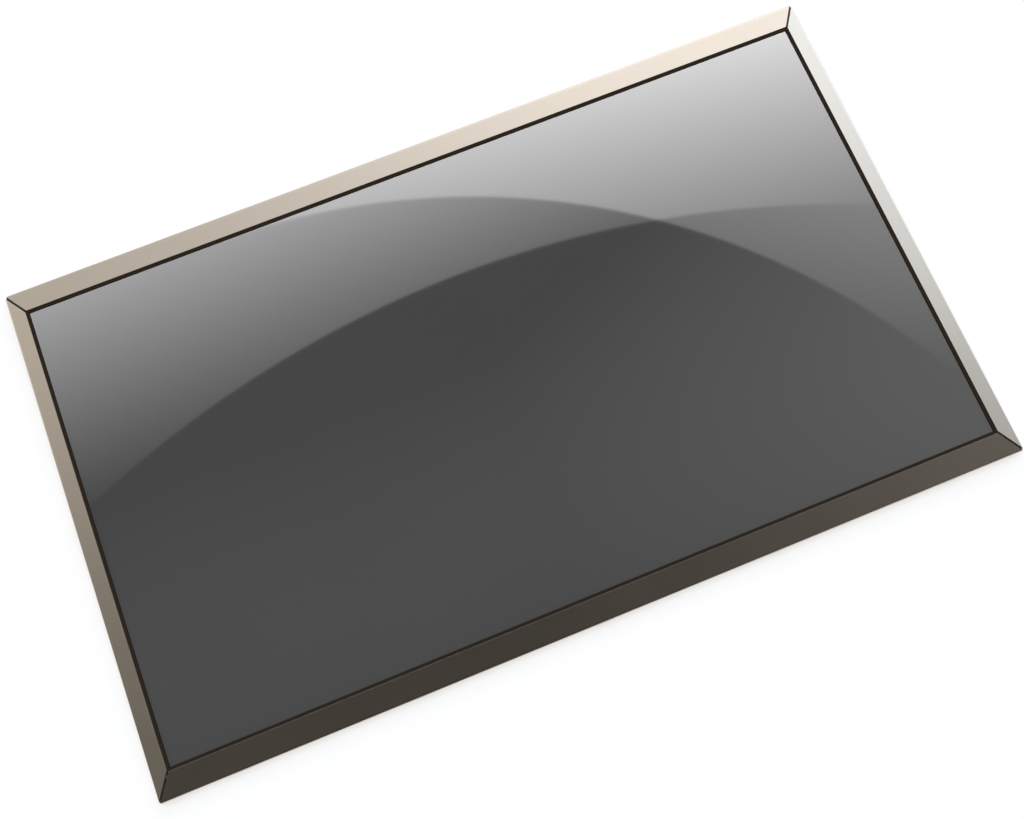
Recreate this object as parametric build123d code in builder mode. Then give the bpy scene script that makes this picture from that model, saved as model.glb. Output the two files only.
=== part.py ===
from build123d import *
import os
from math import hypot
from typing import NamedTuple

# Laptop display panel, lying on its back: +X to the right, +Y to the screen's top edge,
# +Z out of the screen, origin on the rest plane under the middle of the screen.
# Sizes in millimetres. A reach is measured outwards from the edge of the bezel's opening.

# Screen
active_width = 344.2
active_height = 193.5
black_border = 1.2

# Bezel rails, folded sheet with a sloping flange and an upright wall
side_flange = 7.0
end_flange = 10.2
bevel_drop = 1.8
bezel_sheet = 0.3
bend_radius = 0.2
edge_round = 0.08
wall_foot = 0.3
seam_gap = 0.9
wall_play = 0.15
roof_play = 0.15

# Latches: windows in the rail walls over lugs on the mould frame
latch_length = 8.0
latch_height = 1.2
latch_play = 0.15
latch_inset = 0.05
latch_end_margin = 26.0
end_latch_count = 5
side_latch_count = 3

# Layers, from the rear to the front
rear_sheet = 0.3
reflector_sheet = 0.15
guide_plate = 0.6
optical_sheet = 0.125
optical_sheets = ("lower_diffuser", "lower_prism_sheet", "upper_prism_sheet", "upper_diffuser")
shield_tape = 0.1
polariser_film = 0.2
glass_sheet = 0.5
gasket_height = 0.6
gasket_play = 0.02

# Reach of the layers
optics_reach = 0.4
optics_play = 0.2
polariser_reach = 1.2
gasket_lip = 1.1
glass_reach = 1.8
cell_play = 0.2
ledge_width = 2.5
tape_overlap = 0.7
cover_play = 0.2

# Rear cover: folded lip, pressed beads, screw ears
lip_height = 0.9
bead_width = 7.0
bead_depth = 0.5
bead_taper = 35.0
bead_gap = 18.0
bead_margin = 8.0
bead_rows = 4
bead_columns = 3
ear_width = 8.0
ear_count = 4
ear_end_margin = 24.0
ear_wall = 1.3
ear_tip = 2.2
ear_corner = 1.2

# Rear cover screws
screw_head_radius = 1.5
screw_head_height = 0.5
screw_head_round = 0.2
screw_shank_radius = 0.7
screw_shank_length = 1.6
screw_play = 0.05
screw_hole_play = 0.2
recess_length = 1.7
recess_width = 0.32
recess_depth = 0.28

# Mounting blocks with tapped holes in the left and right sides
mount_end_margin = 22.95
mount_bore_radius = 0.8
mount_clear_radius = 1.3
block_length = 8.0
block_height = 2.4
block_depth = 2.1
block_play = 0.1
block_wall = 0.55

# Hollows in the rear of the mould frame's top bar
core_wall = 1.3
core_depth = 2.2
core_rib = 2.5
cores_per_bay = 3

# Backlight
led_count = 40
led_length = 3.8
led_depth = 0.8
led_height = 0.6
led_gap = 0.05
led_window_length = 2.8
led_window_height = 0.4
led_window_depth = 0.25
led_flex = 0.15
led_flex_width = 3.0
led_flex_margin = 4.0
led_channel_play = 0.1
tail_width = 9.0
tail_bond = 2.2

# Source board and driver films
board_sheet = 0.5
board_height = 14.0
board_end_margin = 22.0
board_foot = 4.5
board_play = 0.3
film_sheet = 0.1
film_width = 34.0
film_count = 4
film_bond = 3.6
film_grip = 2.0
film_bend_lead = 0.1
film_play = 0.6
chip_length = 17.0
chip_width = 1.3
chip_height = 0.3
chip_bond_offset = 1.5

# Mould frame's bottom bar: leg between the LED channel and the film slots
leg_width = 1.6
leg_seat = 0.6
slot_play = 0.5

# Parts on the source board, each placed from the board's left end, middle or right end
controller_size = 9.0
controller_height = 0.8
chip_package = 5.0
chip_package_height = 0.75
memory_length = 4.0
memory_width = 3.0
memory_from_middle = 14.0
power_chip_from_left = 52.0
power_inductor_from_left = 42.0
diode_from_left = 33.0
backlight_chip_from_right = 82.0
backlight_inductor_from_right = 72.0
inductor_size = 5.0
inductor_height = 0.85
diode_length = 2.8
diode_width = 1.7
capacitor_length = 1.6
capacitor_width = 0.8
capacitor_height = 0.8
capacitor_pitch = 2.4
capacitors_per_bank = 4
capacitors_from_left = (24.0, 64.0)
capacitors_from_middle = (-14.0,)
capacitors_from_right = (62.0, 92.0)
resistor_length = 1.0
resistor_width = 0.5
resistor_height = 0.35
resistor_pitch = 1.6
resistors_per_bank = 5
resistors_from_left = (12.0, 42.0)
resistors_from_middle = (-26.0, 24.0)
resistors_from_right = (12.0, 72.0)
parts_line = 4.6
resistor_line = 8.6
package_chamfer = 0.12

# Data connector
contact_count = 40
contact_pitch = 0.5
contact_width = 0.2
contact_sheet = 0.12
contact_length = 2.6
solder_tail = 0.7
connector_from_right = 38.0
connector_depth = 4.4
connector_height = 0.75
connector_end = 2.0
mouth_height = 0.4
mouth_depth = 3.2
mouth_margin = 0.4
shell_sheet = 0.12
shell_side = 1.2

# Clear cover film over the board, its foot bonded to the rear cover
cover_sheet = 0.1
cover_bond = 0.03
cover_rise = 0.05
cover_gap = 0.05
cover_side_margin = 2.0
cover_foot_length = 2.0
cover_slope = 1.7
cover_lead = 1.2
cover_bottom_gap = 0.15
cover_notch_play = 1.5
cover_notch_depth = 6.5

# Derived outline
opening_width = active_width + 2 * black_border
opening_height = active_height + 2 * black_border
outline_width = opening_width + 2 * side_flange
outline_height = opening_height + 2 * end_flange

# Derived levels: the recess takes the board with its tallest part, then each layer's rear face
tallest_part = max(
    controller_height, chip_package_height, inductor_height, capacitor_height, connector_height + shell_sheet
)
board_level = cover_rise + cover_sheet + cover_gap + tallest_part
rear_cover_level = board_level + board_sheet
reflector_level = rear_cover_level + rear_sheet
guide_level = reflector_level + reflector_sheet
sheets_level = guide_level + guide_plate
tape_level = sheets_level + len(optical_sheets) * optical_sheet
rear_polariser_level = tape_level + shield_tape
array_level = rear_polariser_level + polariser_film
filter_level = array_level + glass_sheet
front_polariser_level = filter_level + glass_sheet
screen_level = front_polariser_level + polariser_film
soffit = screen_level + gasket_height
thickness = soffit + bezel_sheet
eave = thickness - bevel_drop
latch_level = eave / 2

# Derived mould frame: outer faces inside the rail walls, shelf, recess, bottom bar
frame_gap = bezel_sheet + wall_play
frame_width = outline_width - 2 * frame_gap
frame_height = outline_height - 2 * frame_gap
side_face = side_flange - frame_gap
end_face = end_flange - frame_gap
side_roof = soffit - roof_play - bevel_drop * side_face / side_flange
mount_level = side_roof / 2
window_reach = optics_reach + optics_play
cell_reach = glass_reach + cell_play
array_foot = glass_reach + ledge_width
cell_foot = array_foot + cell_play
recess_reach = side_face - block_depth - block_play - block_wall
recess_foot = board_foot + board_play
rear_cover_reach = recess_reach - cover_play
led_start = optics_reach + led_gap
led_flex_end = led_start + led_flex_width
leg_start = led_flex_end + led_channel_play
leg_end = leg_start + leg_width
rear_cover_foot = leg_start + leg_seat
film_bend = max(array_foot, board_foot, rear_cover_foot) + film_bend_lead
film_front = filter_level + film_sheet
film_rear = board_level - film_sheet
slot_end = film_bend + (film_front - film_rear) / 2 + slot_play

# Derived rows
board_length = active_width - 2 * board_end_margin
board_top = board_foot - board_height
film_pitch = board_length / film_count
tail_x = film_pitch
led_flex_length = active_width - 2 * led_flex_margin
led_pitch = led_flex_length / led_count
mount_spacing = opening_height - 2 * mount_end_margin
end_latch_pitch = (opening_width - 2 * latch_end_margin) / (end_latch_count - 1)
ear_pitch = (opening_width - 2 * ear_end_margin) / (ear_count - 1)
ear_end = end_face - ear_wall
screw_reach = ear_end - ear_tip
bottom_ear_x = board_length / 2 + ear_width
cover_fold = board_top - cover_lead
cover_heel = cover_fold - cover_slope
cover_edge = cover_heel - cover_foot_length
contact_row = (contact_count - 1) * contact_pitch + contact_width
connector_length = contact_row + 2 * connector_end
connector_x = board_length / 2 - connector_from_right


class Rim(NamedTuple):
    """One side of the panel: the way out from the middle, and the sizes of its rail."""

    out: Vector
    reach: float
    half_span: float
    flange: float
    next_flange: float
    latches: list
    mounts: list


def row(count, pitch):
    """Places along a line, centred."""
    return [(i - (count - 1) / 2) * pitch for i in range(count)]


end_latches = row(end_latch_count, end_latch_pitch)
side_latches = row(side_latch_count, mount_spacing / (side_latch_count + 1))
side_mounts = row(2, mount_spacing)
across = (opening_height / 2, opening_width / 2, end_flange, side_flange, end_latches, [])
upright = (opening_width / 2, opening_height / 2, side_flange, end_flange, side_latches, side_mounts)
rims = {
    "top": Rim(Vector(0, 1, 0), *across),
    "bottom": Rim(Vector(0, -1, 0), *across),
    "left": Rim(Vector(-1, 0, 0), *upright),
    "right": Rim(Vector(1, 0, 0), *upright),
}


def along(rim):
    """Way along a side, anticlockwise as seen from the front."""
    return Vector(0, 0, 1).cross(rim.out)


def section_plane(rim):
    """Plane across a side: x outwards from the opening's edge, y up."""
    return Plane(origin=rim.out * rim.reach, x_dir=rim.out, z_dir=along(rim) * -1)


def plan_plane(rim):
    """Level plane on a side: x outwards from the opening's edge, y along the side."""
    return Plane(origin=rim.out * rim.reach, x_dir=rim.out, z_dir=(0, 0, 1))


def wall_plane(rim, reach):
    """Upright plane along a side at a reach: x along the side, y up."""
    return Plane(origin=rim.out * (rim.reach + reach), x_dir=along(rim), z_dir=rim.out)


def foot_y(reach):
    """Place in Y of a reach below the opening's bottom edge."""
    return -opening_height / 2 - reach


def save(piece, name):
    """Label a finished piece and write it."""
    piece.label = name
    export_step(piece, f"parts/{name}.step")


def layer(name, level, sheet, reach, foot):
    """A flat layer of the stack, with its own reach at the bottom edge."""
    with BuildPart() as flat:
        with BuildSketch(Plane.XY.offset(level)):
            with Locations((0, (reach - foot) / 2)):
                Rectangle(opening_width + 2 * reach, opening_height + reach + foot)
        extrude(amount=sheet)
    save(flat.part, name)


def tent(ridge):
    """Solid under the bevels: upright sides, then four slopes up to the opening."""
    with BuildPart() as body:
        with BuildSketch(Plane.XY):
            Rectangle(outline_width, outline_height)
        extrude(amount=ridge - bevel_drop)
        with BuildSketch(Plane.XY.offset(ridge - bevel_drop)):
            Rectangle(outline_width, outline_height)
        with BuildSketch(Plane.XY.offset(ridge)):
            Rectangle(opening_width, opening_height)
        loft(ruled=True)
    return body.part


def folded_strip(middle, width, sheet, front, rear, front_length, rear_length):
    """A strip that runs outwards at a front level, bends round the bottom edge and comes back behind."""
    centre = (front + rear) / 2
    outer = (front - rear) / 2
    front_end = film_bend - front_length
    rear_end = film_bend - rear_length
    with BuildPart() as strip:
        with BuildSketch(Plane(origin=(middle, foot_y(0), 0), x_dir=(0, -1, 0), z_dir=(-1, 0, 0))):
            with BuildLine():
                Line((front_end, front), (film_bend, front))
                ThreePointArc((film_bend, front), (film_bend + outer, centre), (film_bend, rear))
                Polyline(
                    (film_bend, rear),
                    (rear_end, rear),
                    (rear_end, rear + sheet),
                    (film_bend, rear + sheet),
                )
                ThreePointArc(
                    (film_bend, rear + sheet),
                    (film_bend + outer - sheet, centre),
                    (film_bend, front - sheet),
                )
                Polyline((film_bend, front - sheet), (front_end, front - sheet), (front_end, front))
            make_face()
        extrude(amount=width / 2, both=True)
    return strip.part


def package(name, places, size, height, bevel):
    """Board parts of one kind: boxes standing on the board's rear face."""
    with BuildPart() as chips:
        with BuildSketch(Plane.XY.offset(board_level)):
            with Locations(*places):
                Rectangle(*size)
        extrude(amount=-height)
        chamfer(chips.faces().sort_by(Axis.Z)[: len(places)].edges(), bevel)
    save(chips.part, name)


def bezel_rail(name, rim):
    """One rail of folded sheet, mitred at both ends."""
    seam = seam_gap / 2 * hypot(rim.flange, rim.next_flange) / rim.flange
    inner_end = rim.half_span - seam
    outer_end = rim.half_span + rim.next_flange - seam
    inner_wall = rim.flange - bezel_sheet
    inner_bend = soffit - bevel_drop * inner_wall / rim.flange
    with BuildPart() as rail:
        with BuildSketch(section_plane(rim)) as profile:
            with BuildLine():
                Polyline(
                    (0, thickness),
                    (rim.flange, eave),
                    (rim.flange, wall_foot),
                    (inner_wall, wall_foot),
                    (inner_wall, inner_bend),
                    (0, soffit),
                    close=True,
                )
            make_face()
            fillet(profile.vertices().group_by(Axis.X)[0].sort_by(Axis.Y)[-1], edge_round)
            fillet(profile.vertices().group_by(Axis.X)[-2].sort_by(Axis.Y)[-1], bend_radius)
            fillet(profile.vertices().group_by(Axis.X)[-1].sort_by(Axis.Y)[-1], bend_radius + bezel_sheet)
        extrude(amount=rim.half_span + rim.next_flange, both=True)
        with BuildSketch(plan_plane(rim)):
            with BuildLine():
                Polyline(
                    (0, inner_end),
                    (rim.flange, outer_end),
                    (rim.flange, -outer_end),
                    (0, -inner_end),
                    close=True,
                )
            make_face()
        extrude(amount=thickness, mode=Mode.INTERSECT)
        with BuildSketch(wall_plane(rim, rim.flange)):
            with Locations(*[(place, latch_level) for place in rim.latches]):
                Rectangle(latch_length, latch_height)
            if rim.mounts:
                with Locations(*[(place, mount_level) for place in rim.mounts]):
                    Circle(mount_clear_radius)
        extrude(amount=-bezel_sheet, mode=Mode.SUBTRACT)
    save(rail.part, f"bezel_rail_{name}")


def bezel_gasket():
    """Foam ring between the rails' flanges and the front polariser, showing inside the opening."""
    roof = tent(soffit - gasket_play)
    with BuildPart() as gasket:
        with BuildSketch(Plane.XY.offset(screen_level)):
            Rectangle(opening_width + 2 * polariser_reach, opening_height + 2 * polariser_reach)
            Rectangle(
                opening_width - 2 * gasket_lip,
                opening_height - 2 * gasket_lip,
                mode=Mode.SUBTRACT,
            )
        extrude(amount=gasket_height)
        add(roof, mode=Mode.INTERSECT)
    save(gasket.part, "bezel_gasket")


def light_shield_tape():
    """Black tape ring on the frame's shelf, over the edges of the optical sheets."""
    inner_reach = optics_reach - tape_overlap
    with BuildPart() as tape:
        with BuildSketch(Plane.XY.offset(tape_level)):
            Rectangle(opening_width + 2 * glass_reach, opening_height + 2 * glass_reach)
            Rectangle(opening_width + 2 * inner_reach, opening_height + 2 * inner_reach, mode=Mode.SUBTRACT)
        extrude(amount=shield_tape)
    save(tape.part, "light_shield_tape")


def bottom_cut(middle, width, near, far, low, high):
    """Cut a box from the current part, between two reaches below the opening."""
    with Locations((middle, foot_y((near + far) / 2), (low + high) / 2)):
        Box(width, far - near, high - low, mode=Mode.SUBTRACT)


def screw_places():
    """Rear cover screws: a row in the top ears and one in each bottom ear."""
    top = [(x, opening_height / 2 + screw_reach) for x in row(ear_count, ear_pitch)]
    bottom = [(x, foot_y(screw_reach)) for x in (-bottom_ear_x, bottom_ear_x)]
    return top + bottom


def ear_sketch(play):
    """Outline of the screw ears, for the cover and for the hollows that take them."""
    length = ear_end + play
    with BuildSketch() as ears:
        with Locations(*[(x, (opening_height + length) / 2) for x in row(ear_count, ear_pitch)]):
            Rectangle(ear_width + 2 * play, length)
        with Locations(*[(x, foot_y(length / 2)) for x in (-bottom_ear_x, bottom_ear_x)]):
            Rectangle(ear_width + 2 * play, length)
        fillet(ears.vertices(), ear_corner)
    return ears.sketch


def core_sketch():
    """Hollows in the rear of the top bar, in the bays between the screw ears."""
    pitch = (ear_pitch - ear_width - 2 * core_rib) / cores_per_bay
    near = recess_reach + core_wall
    far = end_face - core_wall
    with BuildSketch() as cores:
        for bay in row(ear_count - 1, ear_pitch):
            places = [(bay + x, (opening_height + near + far) / 2) for x in row(cores_per_bay, pitch)]
            with Locations(*places):
                Rectangle(pitch - core_rib, far - near)
    return cores.sketch


def mould_frame():
    """Moulded frame that carries the cell on its shelf and the backlight in its window."""
    roof = tent(soffit - roof_play)
    ears = ear_sketch(cover_play)
    cores = core_sketch()
    with BuildPart() as frame:
        add(roof)
        with BuildSketch(Plane.XY):
            Rectangle(frame_width, frame_height)
        extrude(amount=soffit, mode=Mode.INTERSECT)
        # Cell pocket, light window and rear recess
        with BuildSketch(Plane.XY.offset(tape_level)):
            with Locations((0, (cell_reach - cell_foot) / 2)):
                Rectangle(opening_width + 2 * cell_reach, opening_height + cell_reach + cell_foot)
        extrude(amount=soffit - tape_level, mode=Mode.SUBTRACT)
        with BuildSketch(Plane.XY):
            Rectangle(opening_width + 2 * window_reach, opening_height + 2 * window_reach)
        extrude(amount=soffit, mode=Mode.SUBTRACT)
        with BuildSketch(Plane.XY):
            with Locations((0, (recess_reach - recess_foot) / 2)):
                Rectangle(opening_width + 2 * recess_reach, opening_height + recess_reach + recess_foot)
            add(ears)
        extrude(amount=reflector_level, mode=Mode.SUBTRACT)
        # Channel for the LED strip along the bottom
        led_roof = guide_level + led_height + led_channel_play
        bottom_cut(0, led_flex_length + 2 * led_channel_play, 0, leg_start, reflector_level, led_roof)
        # Slots that let the driver films and the LED tail pass to the rear
        for middle in row(film_count, film_pitch):
            width = film_width + 2 * film_play
            bottom_cut(middle, width, leg_end, slot_end, 0, soffit)
            bottom_cut(middle, width, cell_foot, slot_end, tape_level, soffit)
            bottom_cut(middle, width, recess_foot, slot_end, 0, reflector_level)
        tail_roof = reflector_level + led_flex + led_channel_play
        bottom_cut(tail_x, tail_width + 2 * film_play, led_start, slot_end, 0, tail_roof)
        # Hollows, screw holes and pockets for the mounting blocks
        extrude(cores, amount=core_depth, mode=Mode.SUBTRACT)
        with BuildSketch(Plane.XY.offset(reflector_level)):
            with Locations(*screw_places()):
                Circle(screw_shank_radius + screw_play)
        extrude(amount=screw_shank_length, mode=Mode.SUBTRACT)
        for rim in (rims["left"], rims["right"]):
            with BuildSketch(wall_plane(rim, side_face)):
                with Locations(*[(place, mount_level) for place in rim.mounts]):
                    Rectangle(block_length + 2 * block_play, block_height + 2 * block_play)
            extrude(amount=-block_depth - block_play, mode=Mode.SUBTRACT)
        # Lugs that the rails snap over
        for rim in rims.values():
            with BuildSketch(wall_plane(rim, rim.flange - frame_gap)):
                with Locations(*[(place, latch_level) for place in rim.latches]):
                    Rectangle(latch_length - 2 * latch_play, latch_height - 2 * latch_play)
            extrude(amount=frame_gap - latch_inset)
    save(frame.part, "mould_frame")


def rear_cover():
    """Pressed sheet that closes the backlight, with beads, a folded lip and screw ears."""
    ears = ear_sketch(0)
    plate_width = opening_width + 2 * rear_cover_reach
    plate_height = opening_height + rear_cover_reach + rear_cover_foot
    plate_y = (rear_cover_reach - rear_cover_foot) / 2
    top_y = opening_height / 2 + rear_cover_reach
    field_top = top_y - bead_margin
    field_bottom = foot_y(cover_edge) + bead_margin
    bead_pitch_x = plate_width / bead_columns
    bead_pitch_y = (field_top - field_bottom) / bead_rows
    bead_length = bead_pitch_x - bead_gap
    with BuildPart() as cover:
        with BuildSketch(Plane.XY.offset(rear_cover_level)):
            with Locations((0, plate_y)):
                Rectangle(plate_width, plate_height)
            add(ears)
        extrude(amount=rear_sheet)
        # Lip along the left, right and top edges, broken at the ears and beside the board
        with BuildSketch(Plane.XY.offset(rear_cover_level)):
            with Locations((0, plate_y)):
                Rectangle(plate_width, plate_height)
            with Locations((0, plate_y - rear_sheet)):
                Rectangle(plate_width - 2 * rear_sheet, plate_height, mode=Mode.SUBTRACT)
            with Locations(*[(x, top_y) for x in row(ear_count, ear_pitch)]):
                Rectangle(ear_width + 2 * ear_corner, 2 * ear_tip, mode=Mode.SUBTRACT)
            with Locations((0, foot_y(rear_cover_foot))):
                Rectangle(plate_width, 2 * board_height, mode=Mode.SUBTRACT)
        extrude(amount=-lip_height)
        # Beads pressed towards the rear, hollow on the inside
        with BuildSketch(Plane.XY.offset(rear_cover_level)):
            with Locations((0, (field_top + field_bottom) / 2)):
                with GridLocations(bead_pitch_x, bead_pitch_y, bead_columns, bead_rows):
                    SlotOverall(bead_length, bead_width)
        extrude(amount=-bead_depth, taper=bead_taper)
        with BuildSketch(Plane.XY.offset(reflector_level)):
            with Locations((0, (field_top + field_bottom) / 2)):
                with GridLocations(bead_pitch_x, bead_pitch_y, bead_columns, bead_rows):
                    SlotOverall(bead_length - rear_sheet, bead_width - rear_sheet)
        extrude(amount=-bead_depth, taper=bead_taper, mode=Mode.SUBTRACT)
        with BuildSketch(Plane.XY.offset(rear_cover_level)):
            with Locations(*screw_places()):
                Circle(screw_shank_radius + screw_hole_play)
        extrude(amount=rear_sheet, mode=Mode.SUBTRACT)
    save(cover.part, "rear_cover")


def rear_cover_screws():
    """Pan-head screws with a cross recess, through the cover's ears into the frame."""
    with BuildPart() as screws:
        with BuildSketch(Plane.XY.offset(rear_cover_level)):
            with Locations(*screw_places()):
                Circle(screw_shank_radius)
        extrude(amount=rear_sheet + screw_shank_length)
        with BuildSketch(Plane.XY.offset(rear_cover_level)):
            with Locations(*screw_places()):
                Circle(screw_head_radius)
        extrude(amount=-screw_head_height)
        fillet(screws.faces().group_by(Axis.Z)[0].edges(), screw_head_round)
        with BuildSketch(Plane.XY.offset(rear_cover_level - screw_head_height)):
            with Locations(*screw_places()):
                Rectangle(recess_length, recess_width)
                Rectangle(recess_width, recess_length)
        extrude(amount=recess_depth, mode=Mode.SUBTRACT)
    save(screws.part, "rear_cover_screws")


def mounting_blocks():
    """Tapped blocks in the frame's side pockets, behind the holes in the side rails."""
    for side in ("left", "right"):
        rim = rims[side]
        for place, height in zip(rim.mounts, ("lower", "upper")):
            with BuildPart() as block:
                with BuildSketch(wall_plane(rim, side_face)):
                    with Locations((place * rim.out.X, mount_level)):
                        Rectangle(block_length, block_height)
                        Circle(mount_bore_radius, mode=Mode.SUBTRACT)
                extrude(amount=-block_depth)
            save(block.part, f"mounting_block_{side}_{height}")


def backlight_leds():
    """Row of side-facing LEDs, each with a window towards the light guide."""
    middle_y = foot_y(led_start + led_depth / 2)
    window_face = Plane(origin=(0, foot_y(led_start), 0), x_dir=(-1, 0, 0), z_dir=(0, 1, 0))
    with BuildPart() as leds:
        with BuildSketch(Plane.XY.offset(guide_level)):
            with Locations(*[(x, middle_y) for x in row(led_count, led_pitch)]):
                Rectangle(led_length, led_depth)
        extrude(amount=led_height)
        with BuildSketch(window_face):
            with Locations(*[(x, guide_level + led_height / 2) for x in row(led_count, led_pitch)]):
                Rectangle(led_window_length, led_window_height)
        extrude(amount=-led_window_depth, mode=Mode.SUBTRACT)
    save(leds.part, "backlight_leds")


def led_strip():
    """Flexible circuit under the LEDs, with a tail folded back to the source board."""
    front = reflector_level + led_flex
    rear = board_level - led_flex
    tail = folded_strip(tail_x, tail_width, led_flex, front, rear, film_bend - led_flex_end, tail_bond)
    with BuildPart() as strip:
        with BuildSketch(Plane.XY.offset(reflector_level)):
            with Locations((0, foot_y(led_start + led_flex_width / 2))):
                Rectangle(led_flex_length, led_flex_width)
        extrude(amount=led_flex)
        add(tail)
    save(strip.part, "led_strip")


def driver_films():
    """Driver films from the array glass round to the board, each with its chip."""
    chip_y = foot_y(film_bend - chip_bond_offset)
    for number, middle in enumerate(row(film_count, film_pitch), start=1):
        film = folded_strip(middle, film_width, film_sheet, film_front, film_rear, film_grip, film_bond)
        save(film, f"driver_film_{number}")
        with BuildPart() as chip:
            with BuildSketch(Plane.XY.offset(film_rear)):
                with Locations((middle, chip_y)):
                    Rectangle(chip_length, chip_width)
            extrude(amount=-chip_height)
        save(chip.part, f"driver_chip_{number}")


def source_board():
    """Board on the rear cover's back, along the bottom edge."""
    with BuildPart() as board:
        with BuildSketch(Plane.XY.offset(board_level)):
            with Locations((0, foot_y(board_foot - board_height / 2))):
                Rectangle(board_length, board_height)
        extrude(amount=board_sheet)
    save(board.part, "source_board")


def bank_places(line, count, pitch, from_left, from_middle, from_right):
    """Places of small parts in banks counted from the board's left end, middle and right end."""
    left = [from_left_end - board_length / 2 for from_left_end in from_left]
    right = [board_length / 2 - from_right_end for from_right_end in from_right]
    banks = left + list(from_middle) + right
    return [(bank + x, line) for bank in banks for x in row(count, pitch)]


def board_parts():
    """Chips and passive parts on the board's rear face."""
    line = foot_y(board_top + parts_line)
    left = -board_length / 2
    right = board_length / 2
    chip = (chip_package, chip_package)
    coil = (inductor_size, inductor_size)
    singles = (
        ("timing_controller", 0, (controller_size, controller_size), controller_height),
        ("memory_chip", memory_from_middle, (memory_length, memory_width), chip_package_height),
        ("power_chip", left + power_chip_from_left, chip, chip_package_height),
        ("power_inductor", left + power_inductor_from_left, coil, inductor_height),
        ("diode", left + diode_from_left, (diode_length, diode_width), chip_package_height),
        ("backlight_chip", right - backlight_chip_from_right, chip, chip_package_height),
        ("backlight_inductor", right - backlight_inductor_from_right, coil, inductor_height),
    )
    for name, place, size, height in singles:
        package(name, [(place, line)], size, height, package_chamfer)
    capacitors = bank_places(
        line, capacitors_per_bank, capacitor_pitch,
        capacitors_from_left, capacitors_from_middle, capacitors_from_right,
    )
    capacitor = (capacitor_width, capacitor_length)
    package("board_capacitors", capacitors, capacitor, capacitor_height, edge_round)
    resistors = bank_places(
        foot_y(board_top + resistor_line), resistors_per_bank, resistor_pitch,
        resistors_from_left, resistors_from_middle, resistors_from_right,
    )
    resistor = (resistor_width, resistor_length)
    package("board_resistors", resistors, resistor, resistor_height, edge_round)


def data_connector():
    """Edge connector with its mouth at the board's upper edge: housing, shell and contacts."""
    mouth_y = foot_y(board_top)
    back_y = mouth_y - connector_depth
    middle_y = (mouth_y + back_y) / 2
    floor = board_level - (connector_height - mouth_height) / 2
    with BuildPart() as housing:
        with BuildSketch(Plane.XY.offset(board_level)):
            with Locations((connector_x, middle_y)):
                Rectangle(connector_length, connector_depth)
        extrude(amount=-connector_height)
        with BuildSketch(Plane.XY.offset(floor)):
            with Locations((connector_x, mouth_y - mouth_depth / 2)):
                Rectangle(contact_row + 2 * mouth_margin, mouth_depth)
        extrude(amount=-mouth_height, mode=Mode.SUBTRACT)
    save(housing.part, "connector_housing")
    shell_width = connector_length + 2 * shell_sheet
    with BuildPart() as shell:
        with BuildSketch(Plane.XY.offset(board_level - connector_height)):
            with Locations((connector_x, middle_y)):
                Rectangle(shell_width, connector_depth)
        extrude(amount=-shell_sheet)
        with BuildSketch(Plane.XY.offset(board_level)):
            with Locations((connector_x, mouth_y - shell_side / 2), (connector_x, back_y + shell_side / 2)):
                Rectangle(shell_width, shell_side)
                Rectangle(connector_length, shell_side, mode=Mode.SUBTRACT)
        extrude(amount=-connector_height)
    save(shell.part, "connector_shell")
    beam_y = mouth_y - mouth_depth + contact_length / 2
    tail_y = back_y - solder_tail / 2
    places = [connector_x + x for x in row(contact_count, contact_pitch)]
    with BuildPart() as contacts:
        with BuildSketch(Plane.XY.offset(floor)):
            with Locations(*[(x, beam_y) for x in places]):
                Rectangle(contact_width, contact_length)
        extrude(amount=-contact_sheet)
        with BuildSketch(Plane.XY.offset(board_level)):
            with Locations(*[(x, tail_y) for x in places]):
                Rectangle(contact_width, solder_tail)
        extrude(amount=-contact_sheet)
    save(contacts.part, "connector_contacts")


def board_cover_film():
    """Clear film bonded to the rear cover above the board, bridging its parts, open at the connector."""
    bottom = board_foot - cover_bottom_gap
    inner = cover_rise + cover_sheet
    bonded = rear_cover_level - cover_bond
    with BuildPart() as film:
        with BuildSketch(section_plane(rims["bottom"])):
            with BuildLine():
                Polyline(
                    (cover_edge, bonded),
                    (cover_heel, bonded),
                    (cover_fold, inner),
                    (bottom, inner),
                    (bottom, cover_rise),
                    (cover_fold, cover_rise),
                    (cover_heel, bonded - cover_sheet),
                    (cover_edge, bonded - cover_sheet),
                    close=True,
                )
            make_face()
        extrude(amount=board_length / 2 - cover_side_margin, both=True)
        notch = connector_length + 2 * cover_notch_play
        bottom_cut(connector_x, notch, cover_edge, board_top + cover_notch_depth, 0, rear_cover_level)
    save(film.part, "board_cover_film")


os.makedirs("parts", exist_ok=True)
for rail_name, rail_rim in rims.items():
    bezel_rail(rail_name, rail_rim)
bezel_gasket()
layer("front_polariser", front_polariser_level, polariser_film, polariser_reach, polariser_reach)
layer("colour_filter_glass", filter_level, glass_sheet, glass_reach, glass_reach)
layer("array_glass", array_level, glass_sheet, glass_reach, array_foot)
layer("rear_polariser", rear_polariser_level, polariser_film, polariser_reach, polariser_reach)
light_shield_tape()
for sheet_index, sheet_name in enumerate(optical_sheets):
    sheet_level = sheets_level + sheet_index * optical_sheet
    layer(sheet_name, sheet_level, optical_sheet, optics_reach, optics_reach)
layer("light_guide_plate", guide_level, guide_plate, optics_reach, optics_reach)
layer("reflector_sheet", reflector_level, reflector_sheet, optics_reach, optics_reach)
led_strip()
backlight_leds()
mould_frame()
rear_cover()
rear_cover_screws()
mounting_blocks()
source_board()
driver_films()
board_parts()
data_connector()
board_cover_film()
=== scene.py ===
import math

import bmesh
import bpy
from mathutils import Matrix, Vector


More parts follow.
